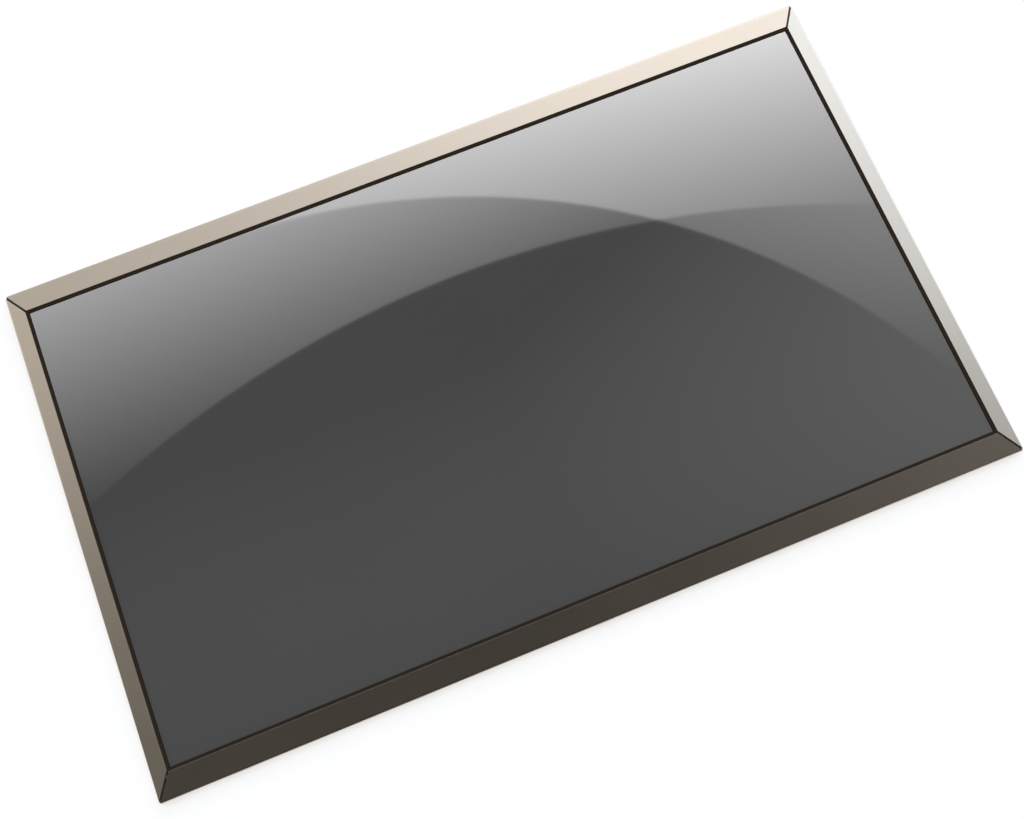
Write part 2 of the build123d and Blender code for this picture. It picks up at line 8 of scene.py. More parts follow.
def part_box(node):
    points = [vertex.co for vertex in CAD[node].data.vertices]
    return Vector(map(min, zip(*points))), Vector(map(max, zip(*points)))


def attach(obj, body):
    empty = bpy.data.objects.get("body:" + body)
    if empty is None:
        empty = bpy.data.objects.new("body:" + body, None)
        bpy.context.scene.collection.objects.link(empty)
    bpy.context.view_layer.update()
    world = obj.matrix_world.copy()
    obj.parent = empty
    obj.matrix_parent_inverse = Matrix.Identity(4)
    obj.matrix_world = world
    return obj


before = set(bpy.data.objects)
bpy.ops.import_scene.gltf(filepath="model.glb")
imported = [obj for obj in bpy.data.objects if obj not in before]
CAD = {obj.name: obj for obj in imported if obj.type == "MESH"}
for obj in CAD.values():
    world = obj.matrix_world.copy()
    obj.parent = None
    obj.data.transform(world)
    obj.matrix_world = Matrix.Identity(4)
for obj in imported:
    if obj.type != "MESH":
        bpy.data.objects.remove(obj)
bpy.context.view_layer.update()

# Laptop screen panel on its back: +X right, +Y to the screen's top edge, +Z out of the screen.
# Blender works in metres. The fine pieces are laid out in millimetres and scaled by MM when they are made.
MM = 0.001

# Sizes read from the frame
OPENING_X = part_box("bezel_rail_right")[0].x
OPENING_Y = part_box("bezel_rail_top")[0].y
SCREEN_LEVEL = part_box("front_polariser")[1].z

# Sizes that the frame's boxes don't give: the black border of the screen and the height of the rails' fold
SCREEN_BORDER = 1.2 * MM
FOLD_LEVEL = 3.72 * MM

# Camera, fitted to the corners of the bezel and of the screen
CAMERA_PLACE = Vector((-34.34, -120.75, 443.22)) * MM
CAMERA_AIM = Vector((-1.84, -16.63, 4.62)) * MM
PICTURE_UP = Vector((0.37136, 0.92849, 0.0))
FOCAL_LENGTH = 39.46
SENSOR_WIDTH = 36.0

# Stretch of a noise that makes grain along one axis
GRAIN_ALONG_X = (0.03, 1.0, 1.0)
GRAIN_ALONG_Y = (1.0, 0.03, 1.0)


def colour(red, green, blue):
    return (red, green, blue, 1.0)


def grey(level):
    return colour(level, level, level)


class Field:
    """A socket in a node tree. Arithmetic on it adds Math nodes to the tree."""

    def __init__(self, tree, socket):
        self.tree = tree
        self.socket = socket

    def node(self, kind, sockets=None, out=0, stops=(), **settings):
        """Add a node: its settings first, then the values or links of its sockets. Gives one output."""
        added = self.tree.nodes.new(kind)
        for setting, value in settings.items():
            setattr(added, setting, value)
        if stops:
            ramp = added.color_ramp.elements
            while len(ramp) < len(stops):
                ramp.new(1.0)
            for element, (place, level) in zip(ramp, stops):
                element.position = place
                element.color = grey(level)
        for key, value in (sockets or {}).items():
            if isinstance(value, Field):
                self.tree.links.new(value.socket, added.inputs[key])
            else:
                added.inputs[key].default_value = value
        return Field(self.tree, added.outputs[out])

    def maths(self, operation, *terms):
        return self.node("ShaderNodeMath", dict(enumerate(terms)), operation=operation)

    def __add__(self, other):
        return self.maths("ADD", self, other)

    def __sub__(self, other):
        return self.maths("SUBTRACT", self, other)

    def __rsub__(self, other):
        return self.maths("SUBTRACT", other, self)

    def __mul__(self, other):
        return self.maths("MULTIPLY", self, other)

    def __truediv__(self, other):
        return self.maths("DIVIDE", self, other)

    def __rtruediv__(self, other):
        return self.maths("DIVIDE", other, self)

    def __pow__(self, other):
        return self.maths("POWER", self, other)

    def __rpow__(self, other):
        return self.maths("POWER", other, self)

    def __abs__(self):
        return self.maths("ABSOLUTE", self)

    __radd__ = __add__
    __rmul__ = __mul__

    def largest(self, other):
        return self.maths("MAXIMUM", self, other)

    def sine(self):
        return self.maths("SINE", self)

    def axis(self, letter):
        return self.node("ShaderNodeSeparateXYZ", {0: self}, letter)

    def stretched(self, x, y, z):
        return self.node("ShaderNodeVectorMath", {0: self, 1: (x, y, z)}, operation="MULTIPLY")

    def step(self, start, end):
        """Smooth step from 0 at start to 1 at end."""
        sockets = {"Value": self, "From Min": start, "From Max": end}
        return self.node("ShaderNodeMapRange", sockets, interpolation_type="SMOOTHSTEP")

    def noise(self, scale, detail=2.0):
        return self.node("ShaderNodeTexNoise", {"Vector": self, "Scale": scale, "Detail": detail})

    def between(self, first, second):
        """Colour between two colours, by this factor."""
        sockets = {0: self, 6: first, 7: second}
        return self.node("ShaderNodeMix", sockets, 2, data_type="RGBA")

    def blend(self, first, second):
        """Number between two numbers, by this factor."""
        return self.node("ShaderNodeMix", {0: self, 2: first, 3: second})


def new_material(name):
    """A material with its Principled shader and its Object coordinates."""
    material = bpy.data.materials.new(name)
    material.use_nodes = True
    tree = material.node_tree
    shader = tree.nodes["Principled BSDF"]
    place = Field(tree, tree.nodes.new("ShaderNodeTexCoord").outputs["Object"])
    return material, shader, place


def feed(shader, **inputs):
    """Set constants on a shader's sockets and link what varies."""
    for key, value in inputs.items():
        socket = shader.inputs[key.replace("_", " ")]
        if isinstance(value, Field):
            value.tree.links.new(value.socket, socket)
        else:
            socket.default_value = value


def relief(height, depth, strength):
    """Normal from a height field whose full range is a depth in metres."""
    return height.node("ShaderNodeBump", {"Strength": strength, "Distance": depth, "Height": height})


def bezel_finish(name, along_x):
    """Champagne satin steel, grained along the rail, rubbed on the fold, with painted shade on its inner
    edge at the opening that also dulls the edge's glint.
    """
    material, shader, place = new_material(name)
    fine, coarse = 7000.0, 40.0
    if along_x:
        lines = place.stretched(coarse, fine, fine)
        from_opening = abs(place.axis("Y")) - OPENING_Y
    else:
        lines = place.stretched(fine, coarse, fine)
        from_opening = abs(place.axis("X")) - OPENING_X
    grain = lines.noise(1.0, detail=3.0)
    cloud = place.noise(18.0, detail=3.0)
    worn = 1 - abs(place.axis("Z") - FOLD_LEVEL).step(0.05 * MM, 0.35 * MM)
    # Painted shade: the inner edge by the screen is made dark, rough and not metallic, standing in for the
    # shade in the gap and hiding the edge's glint
    painted_edge_shade = 1 - from_opening.step(0.10 * MM, 0.22 * MM)
    tone = grain * 0.5 + cloud * 0.5
    steel = tone.between(colour(0.70, 0.605, 0.49), colour(0.80, 0.70, 0.57))
    rubbed = (worn * 0.25).between(steel, colour(0.84, 0.77, 0.68))
    feed(
        shader,
        Base_Color=painted_edge_shade.between(rubbed, colour(0.030, 0.025, 0.021)),
        Metallic=1 - painted_edge_shade,
        Roughness=0.24 + 0.08 * grain + 0.05 * cloud - 0.04 * worn + 0.3 * painted_edge_shade,
        Normal=relief(grain, 0.002 * MM, 0.5),
    )
    return material


def screen_finish():
    """Glossy dark screen with the black border round its lit area."""
    material, shader, place = new_material("screen_gloss")
    blur = 0.06 * MM
    lit_x = OPENING_X - SCREEN_BORDER
    lit_y = OPENING_Y - SCREEN_BORDER
    border_x = abs(place.axis("X")).step(lit_x - blur, lit_x + blur)
    border_y = abs(place.axis("Y")).step(lit_y - blur, lit_y + blur)
    lit = place.noise(9.0).between(grey(0.056), grey(0.062))
    face = border_x.largest(border_y).between(lit, colour(0.010, 0.009, 0.008))
    feed(shader, Base_Color=face, Roughness=0.03, IOR=1.5)
    return material


def plain_finish(name, dark, light, rough, grain, depth, metal=0.0, stretch=(1.0, 1.0, 1.0), **constants):
    """A finish whose colour, roughness and relief follow a fine grain and a broad cloud."""
    material, shader, place = new_material(name)
    cloud_ratio = 40.0
    rough_range = 0.12
    fine = place.stretched(*stretch).noise(grain, detail=3.0)
    broad = place.noise(grain / cloud_ratio)
    tone = fine * 0.55 + broad * 0.45
    feed(
        shader,
        Base_Color=tone.between(colour(*dark), colour(*light)),
        Roughness=(rough - rough_range / 2) + rough_range * tone,
        Metallic=metal,
        Normal=relief(fine, depth, 0.6),
        **constants,
    )
    return material


def board_finish():
    """Green board: mask over woven glass, paler where there is copper under it."""
    material, shader, place = new_material("board_mask")
    patch = (9.0 * MM, 2.6 * MM, 1.0)
    weave_pitch = 0.5 * MM
    cells = place.node("ShaderNodeVectorMath", {0: place, 1: patch}, operation="SNAP")
    chance = cells.node("ShaderNodeTexWhiteNoise", {"Vector": cells}, noise_dimensions="3D")
    poured = chance.step(0.42, 0.46)
    warp = (place.axis("X") * (math.tau / weave_pitch)).sine()
    weft = (place.axis("Y") * (math.tau / weave_pitch)).sine()
    weave = warp * weft * 0.5 + 0.5
    fine = place.noise(2500.0, detail=3.0)
    bare = (weave * 0.6 + fine * 0.4).between(colour(0.010, 0.062, 0.030), colour(0.016, 0.090, 0.044))
    covered = fine.between(colour(0.018, 0.120, 0.056), colour(0.026, 0.150, 0.070))
    feed(
        shader,
        Base_Color=poured.between(bare, covered),
        Roughness=0.26 + 0.12 * fine + 0.05 * weave,
        Normal=relief(weave * 0.4 + poured * 0.6, 0.012 * MM, 0.7),
        Coat_Weight=0.25,
    )
    return material


def amber_film_finish(name, pitch):
    """Amber polyimide film with fine copper lines in it, along Y."""
    material, shader, place = new_material(name)
    lines = (place.axis("X") * (math.tau / pitch)).sine().step(-0.2, 0.2)
    cloud = place.noise(160.0, detail=3.0)
    film = cloud.between(colour(0.40, 0.185, 0.036), colour(0.50, 0.245, 0.055))
    copper = cloud.between(colour(0.34, 0.135, 0.030), colour(0.42, 0.175, 0.045))
    feed(
        shader,
        Base_Color=lines.between(film, copper),
        Roughness=0.24 + 0.10 * cloud,
        Normal=relief(lines, 0.006 * MM, 0.5),
        Coat_Weight=0.3,
    )
    return material


def guide_plate_finish():
    """Clear acrylic, edge-tinted, with the rows of white dots that let its light out."""
    material, shader, place = new_material("guide_acrylic")
    pitch = 1.1 * MM
    sockets = {"Vector": place, "Scale": 1 / pitch, "Randomness": 0.0}
    dot = 1 - place.node("ShaderNodeTexVoronoi", sockets).step(0.22, 0.30)
    plate = place.noise(60.0).between(colour(0.66, 0.71, 0.71), colour(0.74, 0.78, 0.77))
    feed(shader, Base_Color=dot.between(plate, grey(0.88)), Roughness=0.08 + 0.4 * dot, IOR=1.49)
    return material


def cover_film_finish():
    """Thin clear film, slightly wavy, with a few dull patches."""
    material, shader, place = new_material("clear_film")
    wave = place.stretched(1.0, 3.0, 1.0).noise(70.0)
    haze = place.noise(400.0, detail=3.0)
    feed(
        shader,
        Base_Color=wave.between(colour(0.72, 0.76, 0.78), colour(0.84, 0.86, 0.87)),
        Roughness=0.10 + 0.18 * haze,
        Alpha=0.04 + 0.05 * wave,
        Normal=relief(wave, 0.25 * MM, 0.6),
    )
    return material


bezel_across = bezel_finish("bezel_steel_across", along_x=True)
bezel_upright = bezel_finish("bezel_steel_upright", along_x=False)
cell_glass = plain_finish(
    "cell_glass", (0.08, 0.11, 0.10), (0.11, 0.15, 0.135),
    rough=0.12, grain=300.0, depth=0.001 * MM, IOR=1.52,
)
polariser_film = plain_finish(
    "polariser_film", (0.045, 0.045, 0.05), (0.07, 0.07, 0.075),
    rough=0.3, grain=900.0, depth=0.002 * MM,
)
black_tape = plain_finish(
    "black_tape", (0.012, 0.012, 0.012), (0.024, 0.024, 0.024),
    rough=0.6, grain=2600.0, depth=0.01 * MM,
)
diffuser_film = plain_finish(
    "diffuser_film", (0.74, 0.75, 0.75), (0.84, 0.84, 0.83),
    rough=0.5, grain=5000.0, depth=0.01 * MM,
)
prism_film = plain_finish(
    "prism_film", (0.60, 0.63, 0.64), (0.78, 0.80, 0.80),
    rough=0.25, grain=9000.0, depth=0.02 * MM, stretch=GRAIN_ALONG_X,
)
white_film = plain_finish(
    "white_film", (0.82, 0.82, 0.81), (0.90, 0.90, 0.89),
    rough=0.42, grain=3000.0, depth=0.004 * MM,
)
led_body = plain_finish(
    "led_body", (0.78, 0.70, 0.34), (0.88, 0.82, 0.52),
    rough=0.4, grain=2500.0, depth=0.005 * MM,
)
gasket_foam = plain_finish(
    "gasket_foam", (0.017, 0.010, 0.006), (0.031, 0.020, 0.012),
    rough=0.9, grain=4000.0, depth=0.03 * MM, Specular_IOR_Level=0.2,
)
frame_plastic = plain_finish(
    "frame_plastic", (0.014, 0.013, 0.012), (0.026, 0.025, 0.024),
    rough=0.55, grain=3500.0, depth=0.01 * MM,
)
rear_metal = plain_finish(
    "rear_metal", (0.60, 0.61, 0.62), (0.74, 0.75, 0.76),
    rough=0.36, grain=2600.0, depth=0.003 * MM, metal=1.0, stretch=GRAIN_ALONG_X,
)
screw_steel = plain_finish(
    "screw_steel", (0.44, 0.44, 0.45), (0.60, 0.60, 0.60),
    rough=0.3, grain=4000.0, depth=0.004 * MM, metal=1.0,
)
block_brass = plain_finish(
    "block_brass", (0.60, 0.44, 0.18), (0.74, 0.57, 0.27),
    rough=0.3, grain=5000.0, depth=0.004 * MM, metal=1.0, stretch=GRAIN_ALONG_Y,
)
bare_chip = plain_finish(
    "bare_chip", (0.055, 0.06, 0.075), (0.085, 0.09, 0.105),
    rough=0.16, grain=700.0, depth=0.001 * MM,
)
chip_epoxy = plain_finish(
    "chip_epoxy", (0.012, 0.012, 0.013), (0.030, 0.030, 0.031),
    rough=0.6, grain=5200.0, depth=0.012 * MM,
)
ferrite = plain_finish(
    "ferrite", (0.050, 0.047, 0.045), (0.085, 0.080, 0.076),
    rough=0.7, grain=4200.0, depth=0.015 * MM,
)
capacitor_body = plain_finish(
    "capacitor_body", (0.20, 0.125, 0.062), (0.27, 0.175, 0.092),
    rough=0.45, grain=4200.0, depth=0.004 * MM,
)
resistor_body = plain_finish(
    "resistor_body", (0.016, 0.016, 0.019), (0.034, 0.034, 0.038),
    rough=0.3, grain=4200.0, depth=0.004 * MM,
)
connector_ivory = plain_finish(
    "connector_ivory", (0.62, 0.58, 0.46), (0.72, 0.68, 0.56),
    rough=0.42, grain=3200.0, depth=0.004 * MM,
)
connector_tin = plain_finish(
    "connector_tin", (0.66, 0.65, 0.63), (0.80, 0.79, 0.77),
    rough=0.28, grain=3000.0, depth=0.003 * MM, metal=1.0, stretch=GRAIN_ALONG_X,
)
contact_gold = plain_finish(
    "contact_gold", (0.78, 0.56, 0.22), (0.88, 0.66, 0.30),
    rough=0.25, grain=3000.0, depth=0.002 * MM, metal=1.0,
)
solder_tin = plain_finish(
    "solder_tin", (0.58, 0.58, 0.57), (0.76, 0.76, 0.75),
    rough=0.26, grain=2600.0, depth=0.006 * MM, metal=1.0,
)
mask_copper = plain_finish(
    "mask_copper", (0.030, 0.165, 0.075), (0.044, 0.210, 0.098),
    rough=0.28, grain=3000.0, depth=0.003 * MM,
)
led_strip_film = amber_film_finish("flex_circuit", pitch=1.5 * MM)
driver_film = amber_film_finish("driver_film", pitch=0.25 * MM)

finishes = {
    "bezel_rail_top": bezel_across,
    "bezel_rail_bottom": bezel_across,
    "bezel_rail_left": bezel_upright,
    "bezel_rail_right": bezel_upright,
    "bezel_gasket": gasket_foam,
    "front_polariser": screen_finish(),
    "colour_filter_glass": cell_glass,
    "array_glass": cell_glass,
    "rear_polariser": polariser_film,
    "light_shield_tape": black_tape,
    "upper_diffuser": diffuser_film,
    "upper_prism_sheet": prism_film,
    "lower_prism_sheet": prism_film,
    "lower_diffuser": diffuser_film,
    "light_guide_plate": guide_plate_finish(),
    "reflector_sheet": white_film,
    "led_strip": led_strip_film,
    "backlight_leds": led_body,
    "mould_frame": frame_plastic,
    "rear_cover": rear_metal,
    "rear_cover_screws": screw_steel,
    "mounting_block": block_brass,
    "source_board": board_finish(),
    "driver_film": driver_film,
    "driver_chip": bare_chip,
    "timing_controller": chip_epoxy,
    "power_chip": chip_epoxy,
    "backlight_chip": chip_epoxy,
    "memory_chip": chip_epoxy,
    "diode": chip_epoxy,
    "power_inductor": ferrite,
    "backlight_inductor": ferrite,
    "board_capacitors": capacitor_body,
    "board_resistors": resistor_body,
    "connector_housing": connector_ivory,
    "connector_shell": connector_tin,
    "connector_contacts": contact_gold,
    "board_cover_film": cover_film_finish(),
}
# Pieces made several times share the finish of their kind
kinds = ("mounting_block", "driver_film", "driver_chip")
for name, node in CAD.items():
    kind = next((start for start in kinds if name.startswith(start)), name)
    for slot in node.material_slots:
        slot.material = finishes[kind]


def new_mesh(name, points, edges=(), faces=()):
    mesh = bpy.data.meshes.new(name)
    mesh.from_pydata(points, edges, faces)
    piece = bpy.data.objects.new(name, mesh)
    bpy.context.scene.collection.objects.link(piece)
    return piece


def level_sheet(name, low_x, high_x, low_y, high_y, level):
    corners = [(low_x, low_y), (high_x, low_y), (high_x, high_y), (low_x, high_y)]
    return new_mesh(name, [(x, y, level) for x, y in corners], faces=[(0, 1, 2, 3)])


def geometry_tree(name, *sizes):
    """Geometry tree with a base, named sizes and a finish as inputs. Gives the tree and its inputs."""
    tree = bpy.data.node_groups.new(name, "GeometryNodeTree")
    ports = tree.interface
    ports.new_socket("Base", in_out="INPUT", socket_type="NodeSocketGeometry")
    for size in sizes:
        ports.new_socket(size, in_out="INPUT", socket_type="NodeSocketFloat")
    ports.new_socket("Finish", in_out="INPUT", socket_type="NodeSocketMaterial")
    ports.new_socket("Piece", in_out="OUTPUT", socket_type="NodeSocketGeometry")
    given = tree.nodes.new("NodeGroupInput").outputs
    return tree, [Field(tree, given[key]) for key in ("Base", *sizes, "Finish")]


def close_tree(tree, shape, finish):
    real = shape.node("GeometryNodeRealizeInstances", {"Geometry": shape})
    dressed = real.node("GeometryNodeSetMaterial", {"Geometry": real, "Material": finish})
    tree.links.new(dressed.socket, tree.nodes.new("NodeGroupOutput").inputs["Piece"])
    return tree


def strips_along_paths():
    """A flat strip along each run of the base's edges."""
    tree, inputs = geometry_tree("strips_along_paths", "Width", "Thickness")
    base, width, thickness, finish = inputs
    path = base.node("GeometryNodeMeshToCurve", {"Mesh": base})
    section = base.node("GeometryNodeCurvePrimitiveQuadrilateral", {"Width": width, "Height": thickness})
    sockets = {"Curve": path, "Profile Curve": section, "Fill Caps": True}
    strips = base.node("GeometryNodeCurveToMesh", sockets)
    return close_tree(tree, strips, finish)


def rings_on_points():
    """A flat ring on each point of the base."""
    tree, inputs = geometry_tree("rings_on_points", "Radius", "Rim", "Thickness")
    base, radius, rim, thickness, finish = inputs
    loop = base.node("GeometryNodeCurvePrimitiveCircle", {"Resolution": 10, "Radius": radius})
    section = base.node("GeometryNodeCurvePrimitiveQuadrilateral", {"Width": rim, "Height": thickness})
    ring = base.node("GeometryNodeCurveToMesh", {"Curve": loop, "Profile Curve": section})
    rings = base.node("GeometryNodeInstanceOnPoints", {"Points": base, "Instance": ring})
    return close_tree(tree, rings, finish)


def mounds_on_points():
    """A low mound, narrower at its top, hanging from each point of the base."""
    tree, inputs = geometry_tree("mounds_on_points", "Length", "Width", "Height")
    base, length, width, height, finish = inputs
    sockets = {"Vertices": 12, "Radius Top": 0.3, "Radius Bottom": 0.5, "Depth": 1.0}
    mound = base.node("GeometryNodeMeshCone", sockets)
    size = base.node("ShaderNodeCombineXYZ", {0: length, 1: width, 2: height})
    sockets = {"Points": base, "Instance": mound, "Rotation": (math.pi, 0.0, 0.0), "Scale": size}
    mounds = base.node("GeometryNodeInstanceOnPoints", sockets)
    return close_tree(tree, mounds, finish)


def threads_on_points():
    """A thread's ridge that runs along +X from each point of the base."""
    tree, inputs = geometry_tree("threads_on_points", "Radius", "Ridge", "Turns", "Length")
    base, radius, ridge, turns, length, finish = inputs
    ends = {"Start Radius": radius, "End Radius": radius, "Height": length}
    spiral = base.node("GeometryNodeCurveSpiral", {"Resolution": 24, "Rotations": turns, **ends})
    section = base.node("GeometryNodeCurvePrimitiveCircle", {"Resolution": 4, "Radius": ridge})
    sockets = {"Curve": spiral, "Profile Curve": section, "Fill Caps": True}
    thread = base.node("GeometryNodeCurveToMesh", sockets)
    sockets = {"Points": base, "Instance": thread, "Rotation": (0.0, math.pi / 2, 0.0)}
    threads = base.node("GeometryNodeInstanceOnPoints", sockets)
    return close_tree(tree, threads, finish)


def grown(name, tree, base, slot, finish, **sizes):
    """Piece that a geometry tree grows on a base of points and edges, kept as a plain mesh."""
    stem = new_mesh(name + "_base", *base)
    modifier = stem.modifiers.new("grow", "NODES")
    modifier.node_group = tree
    values = dict(sizes, Finish=finish)
    for port in tree.interface.items_tree:
        if port.name in values:
            modifier[port.identifier] = values[port.name]
    mesh = bpy.data.meshes.new_from_object(stem.evaluated_get(bpy.context.evaluated_depsgraph_get()))
    bpy.data.objects.remove(stem)
    outward = bmesh.new()
    outward.from_mesh(mesh)
    bmesh.ops.recalc_face_normals(outward, faces=outward.faces)
    outward.to_mesh(mesh)
    outward.free()
    mesh.name = name
    piece = bpy.data.objects.new(name, mesh)
    bpy.context.scene.collection.objects.link(piece)
    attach(piece, "root")


def paths_base(paths):
    """Points and edges of several open paths, given in millimetres."""
    points = []
    edges = []
    for path in paths:
        first = len(points)
        points += [Vector(point) * MM for point in path]
        edges += [(i, i + 1) for i in range(first, len(points) - 1)]
    return points, edges


def points_base(places):
    """Separate points, given in millimetres."""
    return [Vector(place) * MM for place in places], []


def box_mm(name):
    low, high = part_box(name)
    return low / MM, high / MM


def bodies_mm(name):
    """Boxes in millimetres of a node's separate bodies, told apart by clear gaps along X."""
    clear = 1.0
    node = CAD[name]
    points = [node.matrix_world @ vertex.co / MM for vertex in node.data.vertices]
    points.sort(key=lambda point: point.x)
    groups = [[points[0]]]
    for before, point in zip(points, points[1:]):
        if point.x - before.x > clear:
            groups.append([])
        groups[-1].append(point)
    return [(Vector(map(min, zip(*group))), Vector(map(max, zip(*group)))) for group in groups]


def row(start, end, count):
    return [start + (end - start) * i / (count - 1) for i in range(count)]


STRIPS = strips_along_paths()
MOUNDS = mounds_on_points()
BOARD_LOW, BOARD_HIGH = box_mm("source_board")
# The parts stand on the board's rear face, which looks down
BOARD_FACE = BOARD_LOW.z


def part_terminals():
    """Tinned bands round the two ends of each small part, with solder at its ends."""
    skin = 0.02
    foot = 0.12
    chips = bodies_mm("board_capacitors") + bodies_mm("board_resistors")
    coils = [box_mm("power_inductor"), box_mm("backlight_inductor")]
    # Distance of a band's middle from the part's end, as a share of the part's length
    chip_share, coil_share = 0.10, 0.08
    bands = []
    mounds = []
    for share, parts in ((chip_share, chips), (coil_share, coils)):
        for low, high in parts:
            reach = (high.y - low.y) * share
            left, right = low.x - skin / 2, high.x + skin / 2
            top, base = low.z - skin / 2, BOARD_FACE - skin / 2
            for y in (low.y + reach, high.y - reach):
                rise = [(left - foot, y, base), (left, y, base), (left, y, top)]
                fall = [(right, y, top), (right, y, base), (right + foot, y, base)]
                bands.append(rise + fall)
            middle = (left + right) / 2
            mounds += [(middle, low.y - foot, BOARD_FACE), (middle, high.y + foot, BOARD_FACE)]
    grown(
        "part_terminals", STRIPS, paths_base(bands), "connector_metal", solder_tin,
        Width=0.3 * MM, Thickness=skin * MM,
    )
    grown(
        "part_solder", MOUNDS, points_base(mounds), "connector_metal", solder_tin,
        Length=0.62 * MM, Width=0.42 * MM, Height=0.2 * MM,
    )


def chip_leads():
    """Gull-wing leads of the packaged chips and the diode."""
    # Distances from the body at which a lead bends down, meets the board and ends
    out, drop, toe = 0.16, 0.30, 0.58
    inset = 0.5
    foil = 0.1
    foot = BOARD_FACE - foil / 2
    leads = []

    def lead(x, y, side_x, side_y, middle):
        """Path of one lead, out of a side of the body, down and along the board."""
        steps = ((0.0, middle), (out, middle), (drop, foot), (toe, foot))
        leads.append([(x + side_x * reach, y + side_y * reach, z) for reach, z in steps])

    def rows_of_leads(name, count_x, count_y):
        """Leads along the sides that run in X and along those that run in Y."""
        low, high = box_mm(name)
        middle = (low.z + BOARD_FACE) / 2
        for x in row(low.x + inset, high.x - inset, count_x):
            lead(x, low.y, 0, -1, middle)
            lead(x, high.y, 0, 1, middle)
        for y in row(low.y + inset, high.y - inset, count_y):
            lead(low.x, y, -1, 0, middle)
            lead(high.x, y, 1, 0, middle)

    rows_of_leads("power_chip", 9, 9)
    rows_of_leads("backlight_chip", 9, 9)
    rows_of_leads("memory_chip", 4, 0)
    rows_of_leads("diode", 0, 2)
    grown(
        "chip_leads", STRIPS, paths_base(leads), "connector_metal", solder_tin,
        Width=0.22 * MM, Thickness=foil * MM,
    )


def edge_bundles(level):
    """Lines along the board's upper edge, from the controller to the left end and to the socket."""
    lanes, pitch, jog = 4, 0.3, 0.9
    edge_gap, start_gap, left_gap, socket_gap = 0.4, 0.7, 6.0, 1.0
    controller_low, controller_high = box_mm("timing_controller")
    socket_low = box_mm("connector_housing")[0]
    runs = (
        (-1, controller_low.x - start_gap, BOARD_LOW.x + left_gap),
        (1, controller_high.x + start_gap, socket_low.x - socket_gap),
    )
    lines = []
    for lane in range(lanes):
        y = BOARD_HIGH.y - edge_gap - pitch * lane
        for side, begin, end in runs:
            stop = end - side * jog * (lane + 1)
            turn = stop - side * jog
            lines.append([(begin, y, level), (turn, y, level), (stop, y - jog, level)])
    return lines


def staggered_lines(places, start, near, far, level):
    """Short lines along Y from a row of places, every other one longer."""
    ends = [start + (near if i % 2 else far) for i in range(len(places))]
    return [[(x, start, level), (x, end, level)] for x, end in zip(places, ends)]


def connector_fan(level):
    """Lines from the connector's tails."""
    tails, inset = 40, 0.1
    low, high = box_mm("connector_contacts")
    places = row(low.x + inset, high.x - inset, tails)
    return staggered_lines(places, low.y, near=-1.0, far=-1.6, level=level)


def film_combs(level):
    """Lines from the ends of the four driver films."""
    films, teeth, inset = 4, 21, 1.5
    lines = []
    for number in range(1, films + 1):
        low, high = box_mm(f"driver_film_{number}")
        places = row(low.x + inset, high.x - inset, teeth)
        lines += staggered_lines(places, high.y, near=0.55, far=0.95, level=level)
    return lines


def test_pads():
    """Places of the test pads: two double rows and a single one."""
    low_row, high_row = -94.2, -92.2
    pads = [(x, y, BOARD_FACE) for x in row(-78.0, -24.0, 13) for y in (low_row, high_row)]
    pads += [(x, y, BOARD_FACE) for x in row(24.0, 54.0, 8) for y in (low_row, high_row)]
    pads += [(x, high_row, BOARD_FACE) for x in row(129.0, 147.0, 6)]
    return pads


def board_copper():
    """Lines, plated holes and test pads on the board's rear face."""
    foil = 0.03
    level = BOARD_FACE - foil / 2
    lines = edge_bundles(level) + connector_fan(level) + film_combs(level)
    # Each line ends in a plated hole
    holes = [line[-1] for line in lines]
    grown(
        "board_lines", STRIPS, paths_base(lines), "board_laminate", mask_copper,
        Width=0.16 * MM, Thickness=foil * MM,
    )
    grown(
        "board_holes", rings_on_points(), points_base(holes), "contact_gold", contact_gold,
        Radius=0.16 * MM, Rim=0.11 * MM, Thickness=0.04 * MM,
    )
    grown(
        "board_pads", MOUNDS, points_base(test_pads()), "contact_gold", contact_gold,
        Length=1.1 * MM, Width=1.1 * MM, Height=0.04 * MM,
    )


def block_threads():
    """Threads in the bores of the mounting blocks, which are all alike."""
    radius = 0.8
    pitch = 0.4
    margin = 0.2
    blocks = [box_mm(name) for name in CAD if name.startswith("mounting_block")]
    starts = [(low.x + margin, (low.y + high.y) / 2, (low.z + high.z) / 2) for low, high in blocks]
    low, high = blocks[-1]
    length = high.x - low.x - 2 * margin
    grown(
        "block_threads", threads_on_points(), points_base(starts), "block_brass", block_brass,
        Radius=radius * MM, Ridge=0.1 * MM, Turns=length / pitch, Length=length * MM,
    )


part_terminals()
chip_leads()
board_copper()
block_threads()


def pale_floor():
    """White floor that keeps the shadow, seen white by the camera and in reflections."""
    reach = 4.0
    white_share = 0.5
    floor = level_sheet("floor", -reach, reach, -reach, reach, 0.0)
    material, shader, place = new_material("floor_paper")
    tree = material.node_tree
    feed(shader, Base_Color=grey(0.96), Roughness=0.9, Specular_IOR_Level=0.1)
    rays = tree.nodes.new("ShaderNodeLightPath").outputs
    straight, mirrored, passed = (
        Field(tree, rays[key]) for key in ("Is Camera Ray", "Is Glossy Ray", "Is Transmission Ray")
    )
    seen = straight.largest(mirrored).largest(passed)
    white = place.node("ShaderNodeEmission", {"Color": grey(1.0), "Strength": 1.0})
    lit = Field(tree, shader.outputs[0])
    surface = place.node("ShaderNodeMixShader", {0: seen * white_share, 1: lit, 2: white})
    tree.links.new(surface.socket, tree.nodes["Material Output"].inputs["Surface"])
    floor.data.materials.append(material)


